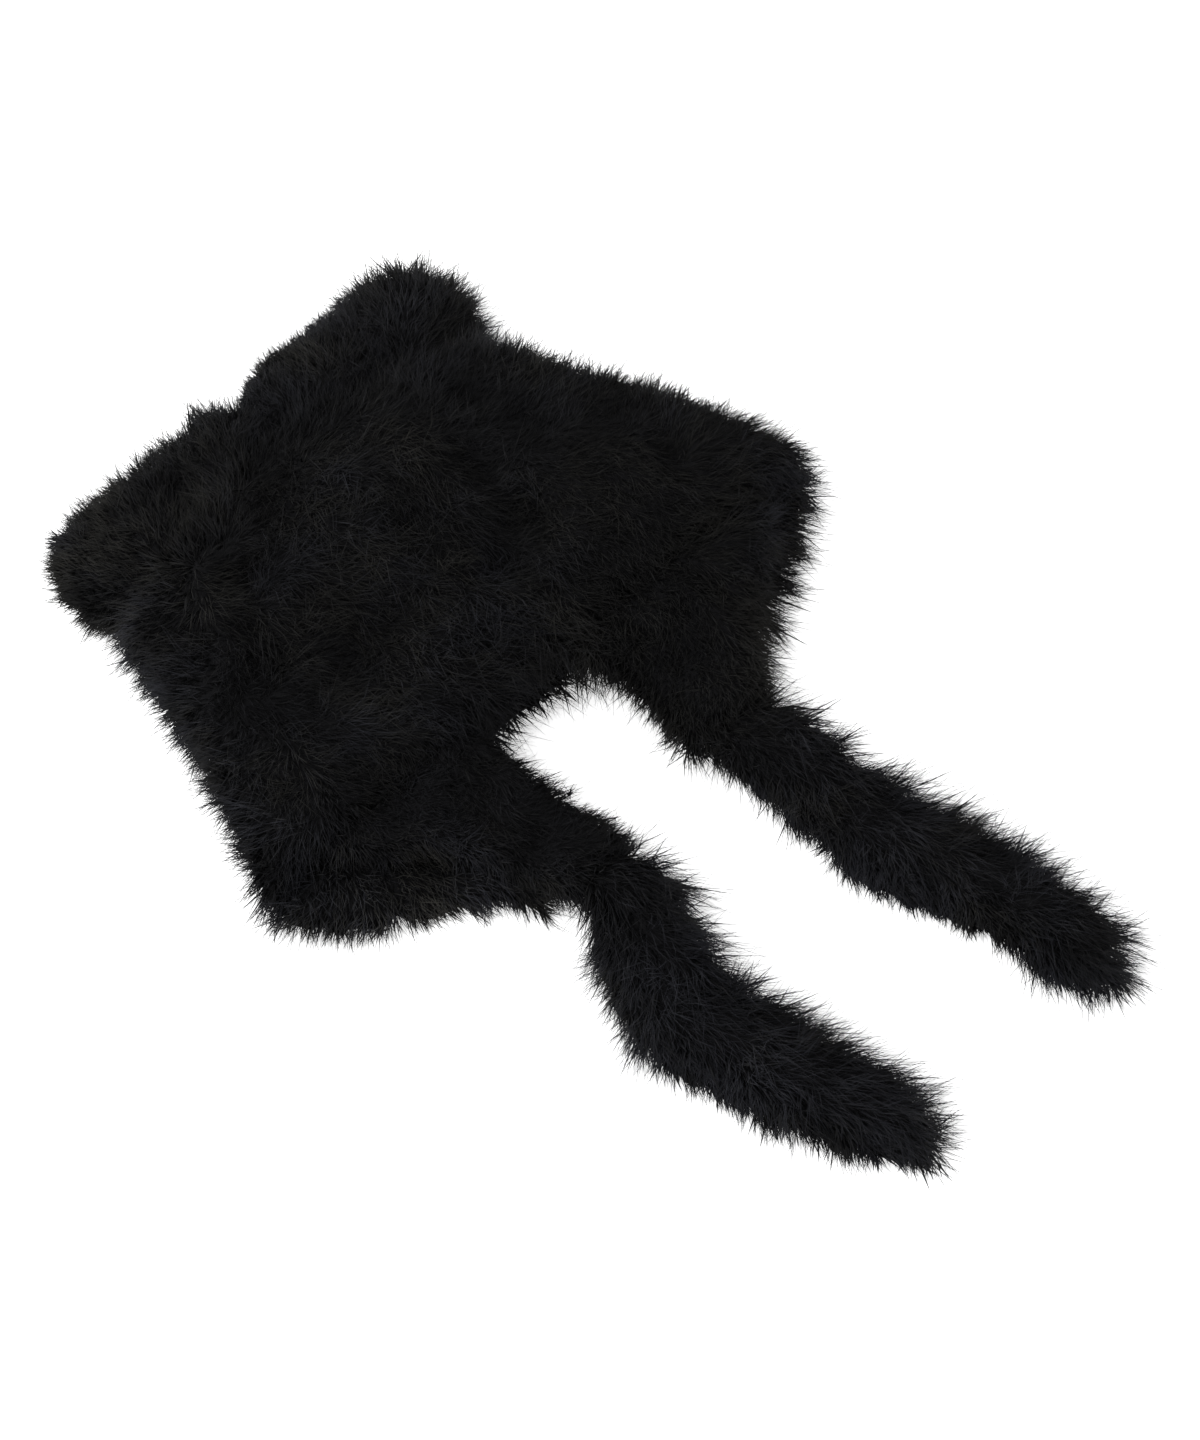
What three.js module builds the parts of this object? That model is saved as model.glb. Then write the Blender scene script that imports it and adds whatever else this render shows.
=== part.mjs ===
// Cat ear earflap cap of long-pile knitted fur yarn, lying on its back panel.
// Millimetres, +X across the cap, +Y from the ties towards the ears, +Z up from the surface it lies on.
// The origin is on the flat underside of the crown, midway between the ear seam and the brim.
// Every piece is a ring-by-ring skin. Its rings run the way the fur is combed, and every second
// ring point on a furry side is drawn out into the pointed tip of a lock.
import * as THREE from "three";

// Driving dimensions of the knitted backing, without its fur.
const brimWidth = 298; // flattened, across the two brim corners
const crownLength = 170; // ear seam to brim, down the middle of the front
const crownRise = 38; // fullest height of the lying crown
const crownWall = 6.5; // fur yarn knit with its matted underfur
const seamDip = 29; // fall of the ear seam from the middle to the side folds
const napeDrop = 82; // how far the back panel's side tabs reach below the brim
const earLength = 27; // ear seam to the top edge, beside the notch
const earRise = 27; // thickness of an ear at its seam
const flapLength = 88; // brim to tie, down the longer flap
const tieLength = 172; // knitted part, without the fur beyond its tip
const tieWidth = 31;
const tieRise = 23;

// Clearances between sewn pieces, and the heights at which the layers lie on each other.
const seamGap = 0.35;
const layerGap = 2.2; // back panel's tab to the flap's lower end above it

// Fur: how far a lock's tip stands off the backing, and how far it reaches along the comb.
const bodyFur = { stand: 7.5, reach: 14 };
const earFur = { stand: 7, reach: 10 };
const flapFur = { stand: 6.5, reach: 11 };
const tieFur = { stand: 8.5, reach: 15 };
const hemFringe = 8; // reach of the locks that stand out from a free hem
const floorClear = 0.4; // lowest point of a lock over the surface

const furColour = 0x0d0d0f;

const halfBrim = brimWidth / 2;
const seamY = crownLength / 2;
const brimY = -crownLength / 2;

// Crown sections from the ear seam (at 0) to the brim (at 1), as shares of half the brim and of the rise.
const crownSections = [
  { at: 0.0, left: 0.77, right: 0.68, rise: 0.78 },
  { at: 0.14, left: 0.79, right: 0.695, rise: 0.9 },
  { at: 0.32, left: 0.82, right: 0.775, rise: 0.98 },
  { at: 0.53, left: 0.865, right: 0.9, rise: 0.98 },
  { at: 0.73, left: 0.925, right: 0.975, rise: 0.93 },
  { at: 0.9, left: 0.98, right: 1.03, rise: 0.84 },
  { at: 1.0, left: 1.045, right: 1.06, rise: 0.78 },
];

// Folds pressed into the front panel, between two places given across half the brim and down the crown.
const crownFolds = [
  { fromX: 0.0, fromAt: 0.0, toX: 0.0, toAt: 0.16, depth: 4.5, spread: 8 },
  { fromX: 0.0, fromAt: 0.05, toX: -0.44, toAt: 0.25, depth: 4, spread: 9 },
  { fromX: -0.44, fromAt: 0.25, toX: -0.6, toAt: 0.47, depth: 5.5, spread: 10 },
  { fromX: -0.6, fromAt: 0.47, toX: -0.68, toAt: 0.7, depth: 5, spread: 11 },
  { fromX: -0.68, fromAt: 0.7, toX: -0.68, toAt: 1.0, depth: 4, spread: 12 },
  { fromX: 0.3, fromAt: 0.04, toX: 0.55, toAt: 0.06, depth: 4, spread: 9 },
  { fromX: 0.44, fromAt: 0.2, toX: 0.55, toAt: 0.38, depth: 5, spread: 10 },
  { fromX: 0.55, fromAt: 0.38, toX: 0.74, toAt: 0.62, depth: 4.5, spread: 11 },
  { fromX: 0.74, fromAt: 0.62, toX: 0.78, toAt: 0.98, depth: 4, spread: 12 },
  { fromX: 0.32, fromAt: 0.42, toX: 0.32, toAt: 0.7, depth: 4.5, spread: 9 },
  { fromX: 0.07, fromAt: 0.72, toX: 0.32, toAt: 0.7, depth: 3.5, spread: 9 },
  { fromX: -0.34, fromAt: 0.6, toX: -0.3, toAt: 0.68, depth: 4, spread: 12 },
];

// Lower edge of the back panel: two side tabs with an arch between them, across half the brim.
const napeEdge = [
  { across: -1.07, drop: 0.04 },
  { across: -1.03, drop: 0.16 },
  { across: -0.98, drop: 0.28 },
  { across: -0.92, drop: 0.37 },
  { across: -0.8, drop: 0.48 },
  { across: -0.7, drop: 0.6 },
  { across: -0.57, drop: 0.75 },
  { across: -0.47, drop: 0.97 },
  { across: -0.35, drop: 0.94 },
  { across: -0.3, drop: 0.1 },
  { across: -0.24, drop: 0.04 },
  { across: 0.18, drop: 0.04 },
  { across: 0.23, drop: 0.68 },
  { across: 0.4, drop: 0.74 },
  { across: 0.46, drop: 0.69 },
  { across: 0.54, drop: 0.6 },
  { across: 0.67, drop: 0.5 },
  { across: 0.8, drop: 0.37 },
  { across: 0.94, drop: 0.23 },
  { across: 1.0, drop: 0.15 },
  { across: 1.08, drop: 0.03 },
];

// Ear outline from its seam (at 0) to its top edge (at 1), across half the brim.
const earShapes = {
  left: {
    reach: 1.1, // share of the ear length
    sections: [
      { at: 0.0, inner: 0.01, outer: 0.765, rise: 1.0 },
      { at: 0.3, inner: 0.011, outer: 0.785, rise: 0.95 },
      { at: 0.6, inner: 0.014, outer: 0.785, rise: 0.85 },
      { at: 0.82, inner: 0.03, outer: 0.755, rise: 0.68 },
      { at: 0.94, inner: 0.055, outer: 0.71, rise: 0.5 },
      { at: 1.0, inner: 0.1, outer: 0.65, rise: 0.3 },
    ],
    dents: [{ fromX: -0.3, fromAt: 0.55, toX: -0.38, toAt: 0.25, depth: 3.5, spread: 9 }],
  },
  right: {
    reach: 1.36,
    sections: [
      { at: 0.0, inner: 0.01, outer: 0.675, rise: 1.0 },
      { at: 0.3, inner: 0.011, outer: 0.72, rise: 0.95 },
      { at: 0.6, inner: 0.014, outer: 0.74, rise: 0.85 },
      { at: 0.82, inner: 0.03, outer: 0.725, rise: 0.68 },
      { at: 0.94, inner: 0.06, outer: 0.68, rise: 0.5 },
      { at: 1.0, inner: 0.12, outer: 0.63, rise: 0.3 },
    ],
    dents: [{ fromX: 0.36, fromAt: 0.2, toX: 0.58, toAt: 0.1, depth: 3.5, spread: 9 }],
  },
};

// Flap outline from the brim (at 0) to its tie (at 1): edges across half the brim.
const flapShapes = {
  left: {
    reach: 1.0, // share of the flap length
    sections: [
      { at: 0.0, inner: 0.29, outer: 0.86 },
      { at: 0.15, inner: 0.3, outer: 0.78 },
      { at: 0.35, inner: 0.292, outer: 0.64 },
      { at: 0.65, inner: 0.262, outer: 0.5 },
      { at: 1.0, inner: 0.225, outer: 0.425 },
    ],
  },
  right: {
    reach: 0.85,
    sections: [
      { at: 0.0, inner: 0.08, outer: 0.9 },
      { at: 0.17, inner: 0.12, outer: 0.84 },
      { at: 0.4, inner: 0.15, outer: 0.69 },
      { at: 0.65, inner: 0.155, outer: 0.52 },
      { at: 1.0, inner: 0.145, outer: 0.4 },
    ],
  },
};

// Ties from root (at 0) to tip (at 1): sideways sway as a share of the length, and size as shares.
const tieShapes = {
  left: {
    reach: 0.96, // share of the tie length
    sections: [
      { at: 0.0, sway: 0.0, width: 0.84, rise: 0.74, lift: 1.0 },
      { at: 0.12, sway: -0.008, width: 0.88, rise: 0.86, lift: 0.45 },
      { at: 0.25, sway: -0.072, width: 1.04, rise: 1.0, lift: 0.0 },
      { at: 0.37, sway: -0.107, width: 1.12, rise: 1.0, lift: 0.0 },
      { at: 0.52, sway: -0.096, width: 1.06, rise: 1.0, lift: 0.0 },
      { at: 0.62, sway: -0.07, width: 0.98, rise: 0.98, lift: 0.0 },
      { at: 0.74, sway: -0.033, width: 0.9, rise: 0.94, lift: 0.0 },
      { at: 0.88, sway: 0.014, width: 0.76, rise: 0.84, lift: 0.0 },
      { at: 0.95, sway: 0.042, width: 0.6, rise: 0.7, lift: 0.0 },
      { at: 1.0, sway: 0.056, width: 0.34, rise: 0.5, lift: 0.0 },
    ],
  },
  right: {
    reach: 1.04,
    sections: [
      { at: 0.0, sway: 0.0, width: 1.05, rise: 0.74, lift: 1.0 },
      { at: 0.14, sway: 0.028, width: 0.86, rise: 0.86, lift: 0.45 },
      { at: 0.26, sway: 0.034, width: 0.82, rise: 0.98, lift: 0.0 },
      { at: 0.4, sway: 0.04, width: 0.92, rise: 1.0, lift: 0.0 },
      { at: 0.52, sway: 0.06, width: 1.02, rise: 1.0, lift: 0.0 },
      { at: 0.64, sway: 0.1, width: 0.9, rise: 0.98, lift: 0.0 },
      { at: 0.76, sway: 0.14, width: 0.8, rise: 0.94, lift: 0.0 },
      { at: 0.88, sway: 0.16, width: 0.76, rise: 0.86, lift: 0.0 },
      { at: 0.96, sway: 0.162, width: 0.62, rise: 0.72, lift: 0.0 },
      { at: 1.0, sway: 0.165, width: 0.36, rise: 0.5, lift: 0.0 },
    ],
  },
};

// How finely each skin is made: ring points over the top (and as many beneath), and rings.
const crownMesh = { across: 42, along: 20, inside: 7 };
const earMesh = { across: 16, along: 7 };
const flapMesh = { across: 12, along: 9 };
const tieMesh = { across: 9, along: 26 };

// Section shape: square-shouldered like a stuffed sack, and pressed flat where it lies.
const shoulder = 0.5;
const pressed = 1.2;
const evenness = 0.35; // keeps the ring points from crowding at the side folds

const lerp = THREE.MathUtils.lerp;
const smooth = (t) => t * t * (3 - 2 * t);

// A repeatable number from 0 to 1 for a lock, so that no two stand quite alike.
function chance(row, column, kind) {
  const wave = Math.sin(row * 12.9898 + column * 78.233 + kind * 37.719) * 43758.5453;
  return wave - Math.floor(wave);
}

// A column of a table at a place between its rows, on a smooth curve through them.
function readTable(table, key, place, column) {
  let upper = table.findIndex((row) => row[key] >= place);
  if (upper < 0) upper = table.length - 1;
  upper = Math.max(upper, 1);
  const before = table[Math.max(upper - 2, 0)];
  const from = table[upper - 1];
  const to = table[upper];
  const after = table[Math.min(upper + 1, table.length - 1)];
  const span = to[key] - from[key];
  const t = THREE.MathUtils.clamp((place - from[key]) / span, 0, 1);
  const slopeFrom = (to[column] - before[column]) / (to[key] - before[key]);
  const slopeTo = (after[column] - from[column]) / (after[key] - from[key]);
  const ease = t * t * (3 - 2 * t);
  const leave = t * (1 - t) * (1 - t) * span * slopeFrom;
  const arrive = t * t * (t - 1) * span * slopeTo;
  return lerp(from[column], to[column], ease) + leave + arrive;
}

// A column of a table read along straight lines, for outlines with sharp turns.
function readStraight(table, key, place, column) {
  const upper = Math.max(table.findIndex((row) => row[key] >= place), 1);
  const from = table[upper - 1];
  const to = table[upper];
  const t = THREE.MathUtils.clamp((place - from[key]) / (to[key] - from[key]), 0, 1);
  return lerp(from[column], to[column], t);
}

// Ring angle of point `step` of `count`: over the top from the right side to the left, then beneath.
function ringAngle(step, count) {
  const share = (step / count) * 2;
  const half = Math.floor(share);
  const t = share - half;
  return Math.PI * (half + t + (evenness * Math.sin(2 * Math.PI * t)) / (2 * Math.PI));
}

// Place on a lying section, as an offset from its middle (-1 to 1) and a level from 0 (bottom) to 1 (top).
function ringPlace(step, count) {
  const angle = ringAngle(step, count);
  const lift = Math.sin(angle);
  const shaped = Math.sign(lift) * Math.pow(Math.abs(lift), shoulder);
  const level = 0.5 + 0.5 * (lift < 0 ? Math.max(shaped * pressed, -1) : shaped);
  return { across: Math.cos(angle), level };
}

// Depth that a list of folds takes from the surface at a place.
function foldDepth(folds, x, at, length) {
  let depth = 0;
  for (const fold of folds) {
    const from = new THREE.Vector2(fold.fromX * halfBrim, fold.fromAt * length);
    const to = new THREE.Vector2(fold.toX * halfBrim, fold.toAt * length);
    const line = to.clone().sub(from);
    const place = new THREE.Vector2(x, at * length).sub(from);
    const t = THREE.MathUtils.clamp(place.dot(line) / line.lengthSq(), 0, 1);
    const away = place.sub(line.multiplyScalar(t)).length() / fold.spread;
    depth = Math.max(depth, fold.depth * Math.exp(-away * away));
  }
  return depth;
}

// Draws every second point of a furry skin out into a lock: off the surface and on along the comb.
// `furry(row, column, point)` says where fur grows, and `keep(point)` holds a tip inside its limits.
function growLocks(rings, fur, furry, keep = (tip) => tip) {
  const count = rings[0].length;
  const point = (row, column) => rings[row][(column + count) % count];
  return rings.map((ring, row) =>
    ring.map((root, column) => {
      if ((row + column) % 2 || !furry(row, column, root)) return root.clone();
      const last = rings.length - 1;
      const along = point(Math.min(row + 1, last), column).clone().sub(point(Math.max(row - 1, 0), column));
      const around = point(row, column + 1).clone().sub(point(row, column - 1));
      const out = new THREE.Vector3().crossVectors(around, along).normalize();
      along.normalize();
      around.normalize();
      const stand = fur.stand * (0.75 + 0.45 * chance(row, column, 1));
      const reach = fur.reach * (0.8 + 0.4 * chance(row, column, 2));
      const swing = fur.reach * 0.5 * (chance(row, column, 3) - 0.5);
      const tip = root.clone();
      tip.addScaledVector(out, stand).addScaledVector(along, reach).addScaledVector(around, swing);
      tip.z = Math.max(tip.z, floorClear);
      return keep(tip, row, column);
    }),
  );
}

// Joins two rings. Each quad is split between its two low points, so that a lock is a clean pyramid.
function joinRings(faces, near, far, count, row) {
  for (let column = 0; column < count; column++) {
    const next = (column + 1) % count;
    const a = near + column;
    const b = near + next;
    const c = far + next;
    const d = far + column;
    if ((row + column) % 2) faces.push(a, b, c, a, c, d);
    else faces.push(a, b, d, b, c, d);
  }
}

// Closes a ring by joining each point over the top to the one beneath it.
function zipRing(faces, start, count, facesBack) {
  for (let column = 0; column < count / 2; column++) {
    const a = start + column;
    const b = start + column + 1;
    const c = start + ((count - column - 1) % count);
    const d = start + ((count - column) % count);
    const corners = facesBack ? [a, d, c, a, c, b] : [a, b, c, a, c, d];
    for (const triangle of [corners.slice(0, 3), corners.slice(3)])
      if (new Set(triangle).size === 3) faces.push(...triangle);
  }
}

// A closed skin from its rings, the first and the last of them zipped shut.
function skinGeometry(rings) {
  const count = rings[0].length;
  const faces = [];
  zipRing(faces, 0, count, true);
  for (let row = 0; row + 1 < rings.length; row++) joinRings(faces, row * count, (row + 1) * count, count, row);
  zipRing(faces, (rings.length - 1) * count, count, false);
  const positions = rings.flat().flatMap((place) => place.toArray());
  const geometry = new THREE.BufferGeometry();
  geometry.setAttribute("position", new THREE.Float32BufferAttribute(positions, 3));
  geometry.setIndex(faces);
  geometry.computeVertexNormals();
  return geometry;
}

function furPiece(name, rings) {
  const material = new THREE.MeshStandardMaterial({ color: furColour, roughness: 0.85, metalness: 0 });
  const mesh = new THREE.Mesh(skinGeometry(rings), material);
  mesh.name = name;
  return mesh;
}

// The ear seam: highest in the middle, falling to both side folds.
const seamLine = (x) => seamY - seamDip * Math.pow(Math.abs(x) / (crownSections[0].left * halfBrim), 1.3);

// Half width, to the left or right, and height of the crown's outside at a place down its length.
function crownSize(at, x) {
  const half = halfBrim * readTable(crownSections, "at", at, x < 0 ? "left" : "right");
  return { half, rise: crownRise * readTable(crownSections, "at", at, "rise") };
}

// Height of the front panel's outside over a place, folds included.
function frontHeight(x, at) {
  const { half, rise } = crownSize(at, x);
  const across = Math.min(Math.abs(x) / half, 1);
  const shaped = Math.pow(1 - across * across, shoulder / 2);
  return rise * (0.5 + 0.5 * shaped) - foldDepth(crownFolds, x, at, crownLength) * shaped;
}

// One ring of the crown, `inset` from its outside. The back panel runs on past the brim in its tabs.
function crownRing(at, inset) {
  const count = 2 * crownMesh.across;
  return Array.from({ length: count }, (_, step) => {
    const { across, level } = ringPlace(step, count);
    const { half, rise } = crownSize(at, across);
    const x = across * (half - inset);
    const beneath = step > crownMesh.across;
    const drop = beneath ? napeDrop * readStraight(napeEdge, "across", x / halfBrim, "drop") : 0;
    const y = lerp(seamLine(across * half), brimY - drop, at);
    const soft = beneath ? 0 : foldDepth(crownFolds, x, at, crownLength) * (2 * level - 1);
    return new THREE.Vector3(x, y, inset + level * (rise - 2 * inset) - soft);
  });
}

// The crown is a sack: down its outside from the ear seam to the brim, and back up inside.
function crown() {
  const { across, along, inside } = crownMesh;
  const outside = Array.from({ length: along + 1 }, (_, row) => crownRing(row / along, 0));
  const joins = (x) => {
    const [{ inner, outer }] = flapShapes[x < 0 ? "left" : "right"].sections;
    return Math.abs(x) > inner * halfBrim - flapFur.stand && Math.abs(x) < outer * halfBrim + flapFur.stand * 2;
  };
  const furry = (row, column, root) => {
    const beneath = column > across + 1 && column < 2 * across - 1;
    if (row === along) return beneath || !joins(root.x);
    return row > 0 && !beneath;
  };
  const keep = (tip, row, column) => {
    const beneath = column > across && column < 2 * across;
    if (!beneath && row > 0 && row < along) tip.y = Math.max(tip.y, brimY + seamGap);
    return tip;
  };
  const furred = growLocks(outside, bodyFur, furry, keep);
  furred[along].forEach((tip, column) => {
    const root = outside[along][column];
    if (tip.equals(root)) return;
    tip.set(root.x, root.y - hemFringe * (0.7 + 0.5 * chance(along, column, 4)), root.z);
    if (root.z < crownWall) tip.z = crownWall * (0.3 + 0.4 * chance(along, column, 5));
  });
  const lining = Array.from({ length: inside + 1 }, (_, row) =>
    crownRing(1 - (row / inside) * (1 - crownWall / crownLength), crownWall),
  );
  return furPiece("crown", [...furred, ...lining]);
}

// An ear: a padded corner that stands on the seam, drawn in at its top edge.
function ear(name, side) {
  const hand = side === "left" ? -1 : 1;
  const { reach, sections: table, dents } = earShapes[side];
  const count = 2 * earMesh.across;
  const top = seamY + earLength * reach;
  const rings = Array.from({ length: earMesh.along + 1 }, (_, row) => {
    const at = Math.sin((row / earMesh.along) * (Math.PI / 2));
    const inner = halfBrim * readTable(table, "at", at, "inner") + seamGap;
    const outer = halfBrim * readTable(table, "at", at, "outer");
    const rise = earRise * readTable(table, "at", at, "rise");
    return Array.from({ length: count }, (_, step) => {
      const { across, level } = ringPlace(step, count);
      const middle = (hand * (inner + outer)) / 2;
      const x = middle - (across * (outer - inner)) / 2;
      const y = lerp(seamLine(x) + seamGap, top, at);
      const dent = foldDepth(dents, x, at, earLength) * Math.max(2 * level - 1, 0);
      return new THREE.Vector3(x, y, level * rise - dent);
    });
  });
  const furry = (row, column) => row > 0 && !(column > earMesh.across + 1 && column < count - 1);
  const keep = (tip) => {
    tip.x = hand * Math.max(hand * tip.x, seamGap);
    return tip;
  };
  return furPiece(name, growLocks(rings, earFur, furry, keep));
}

// Where a flap ends and its tie begins.
function tieRoot(side) {
  const hand = side === "left" ? -1 : 1;
  const { reach, sections } = flapShapes[side];
  const end = sections[sections.length - 1];
  return {
    x: (hand * halfBrim * (end.inner + end.outer)) / 2,
    y: brimY - flapLength * reach,
    low: crownWall + layerGap,
    rise: tieRise * tieShapes[side].sections[0].rise,
  };
}

// A flap: one layer that leaves the front panel at the brim and thickens into the root of its tie.
function flap(name, side) {
  const hand = side === "left" ? -1 : 1;
  const { reach, sections } = flapShapes[side];
  const count = 2 * flapMesh.across;
  const root = tieRoot(side);
  const rings = Array.from({ length: flapMesh.along + 1 }, (_, row) => {
    const at = row / flapMesh.along;
    const inner = halfBrim * readTable(sections, "at", at, "inner");
    const outer = halfBrim * readTable(sections, "at", at, "outer");
    return Array.from({ length: count }, (_, step) => {
      const { across, level } = ringPlace(step, count);
      const x = (hand * (inner + outer)) / 2 + (across * (outer - inner)) / 2;
      const y = lerp(brimY - seamGap, root.y, at);
      const brimLow = frontHeight(x, 1) - crownWall;
      const low = lerp(brimLow, root.low, smooth(at));
      const thick = lerp(crownWall, root.rise, smooth(at));
      return new THREE.Vector3(x, y, low + level * thick);
    });
  });
  const under = (column) => column > flapMesh.across + 1 && column < count - 1;
  const furry = (row, column) => row > 0 && row < flapMesh.along && !under(column);
  const keep = (tip) => {
    tip.y = Math.max(tip.y, root.y);
    return tip;
  };
  const fur = { stand: flapFur.stand, reach: flapFur.reach * reach };
  return furPiece(name, growLocks(rings, fur, furry, keep));
}

// A tie: a round furry tail that comes down off the flap and lies along the surface.
function tie(name, side) {
  const { reach, sections: table } = tieShapes[side];
  const length = tieLength * reach;
  const count = 2 * tieMesh.across;
  const root = tieRoot(side);
  const middle = (at) => {
    const sway = length * readTable(table, "at", at, "sway");
    return new THREE.Vector2(root.x + sway, root.y - seamGap - length * at);
  };
  const rings = Array.from({ length: tieMesh.along + 1 }, (_, row) => {
    const at = row / tieMesh.along;
    const step = 1 / tieMesh.along;
    const ahead = middle(Math.min(at + step, 1)).sub(middle(Math.max(at - step, 0))).normalize();
    if (row === 0) ahead.set(0, -1);
    const centre = middle(at);
    const half = (tieWidth / 2) * readTable(table, "at", at, "width");
    const rise = tieRise * readTable(table, "at", at, "rise");
    const low = root.low * Math.max(readTable(table, "at", at, "lift"), 0);
    return Array.from({ length: count }, (_, point) => {
      const { across, level } = ringPlace(point, count);
      const x = centre.x - ahead.y * across * half;
      const y = centre.y + ahead.x * across * half;
      return new THREE.Vector3(x, y, low + level * rise);
    });
  });
  const under = (column) => column > tieMesh.across + 1 && column < count - 1;
  const furry = (row, column) => row > 0 && !under(column);
  return furPiece(name, growLocks(rings, tieFur, furry));
}

const cap = new THREE.Group();
cap.add(
  crown(),
  ear("ear_left", "left"),
  ear("ear_right", "right"),
  flap("flap_left", "left"),
  flap("flap_right", "right"),
  tie("tie_left", "left"),
  tie("tie_right", "right"),
);

export default cap;
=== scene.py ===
# Cat ear earflap cap of black long-pile knit, lying flat on a white table.
# Metres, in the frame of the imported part: +X across the cap, +Y towards the ears, +Z up.
import math

import bmesh
import bpy
import numpy as np
from mathutils import Matrix, Vector
from mathutils.bvhtree import BVHTree


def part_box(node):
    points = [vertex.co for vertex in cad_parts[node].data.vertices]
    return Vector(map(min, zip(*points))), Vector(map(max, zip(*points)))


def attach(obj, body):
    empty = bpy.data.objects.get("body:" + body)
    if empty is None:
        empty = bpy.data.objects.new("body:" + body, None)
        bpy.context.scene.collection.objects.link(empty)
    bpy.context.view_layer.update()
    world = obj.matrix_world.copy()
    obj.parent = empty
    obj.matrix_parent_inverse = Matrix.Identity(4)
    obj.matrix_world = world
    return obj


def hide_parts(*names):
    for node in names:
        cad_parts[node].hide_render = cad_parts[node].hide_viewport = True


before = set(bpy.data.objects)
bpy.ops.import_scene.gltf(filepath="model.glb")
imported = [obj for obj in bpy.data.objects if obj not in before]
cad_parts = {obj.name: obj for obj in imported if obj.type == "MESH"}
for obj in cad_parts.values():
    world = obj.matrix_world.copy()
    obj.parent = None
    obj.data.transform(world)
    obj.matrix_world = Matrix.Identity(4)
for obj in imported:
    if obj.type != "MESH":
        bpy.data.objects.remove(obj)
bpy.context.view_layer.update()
body = "root"
mm = 0.001

# The photograph's view: 60 degrees above the table, turned towards the left tie.
view = {
    "elevation": 60.0,
    "azimuth": -44.0,
    "distance": 1.2174,
    "lens": 70.0,
    "sensor": 36.0,
    "farEnd": 20.0,
    "aim": (8.8 * mm, -113.15 * mm, 0.0),
}

table = {
    "width": 4.0,
    "colour": (0.9, 0.9, 0.9),
    "roughness": 0.9,
    "glow": 0.6,
}

lights = {
    "world": 0.8,
    "keyPower": 36.0,
    "keySize": 1.4,
    "keyPlace": (-1.3, 0.3, 1.6),
    "fillPower": 8.0,
    "fillSize": 2.0,
    "fillPlace": (1.4, -1.0, 1.5),
}

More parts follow.
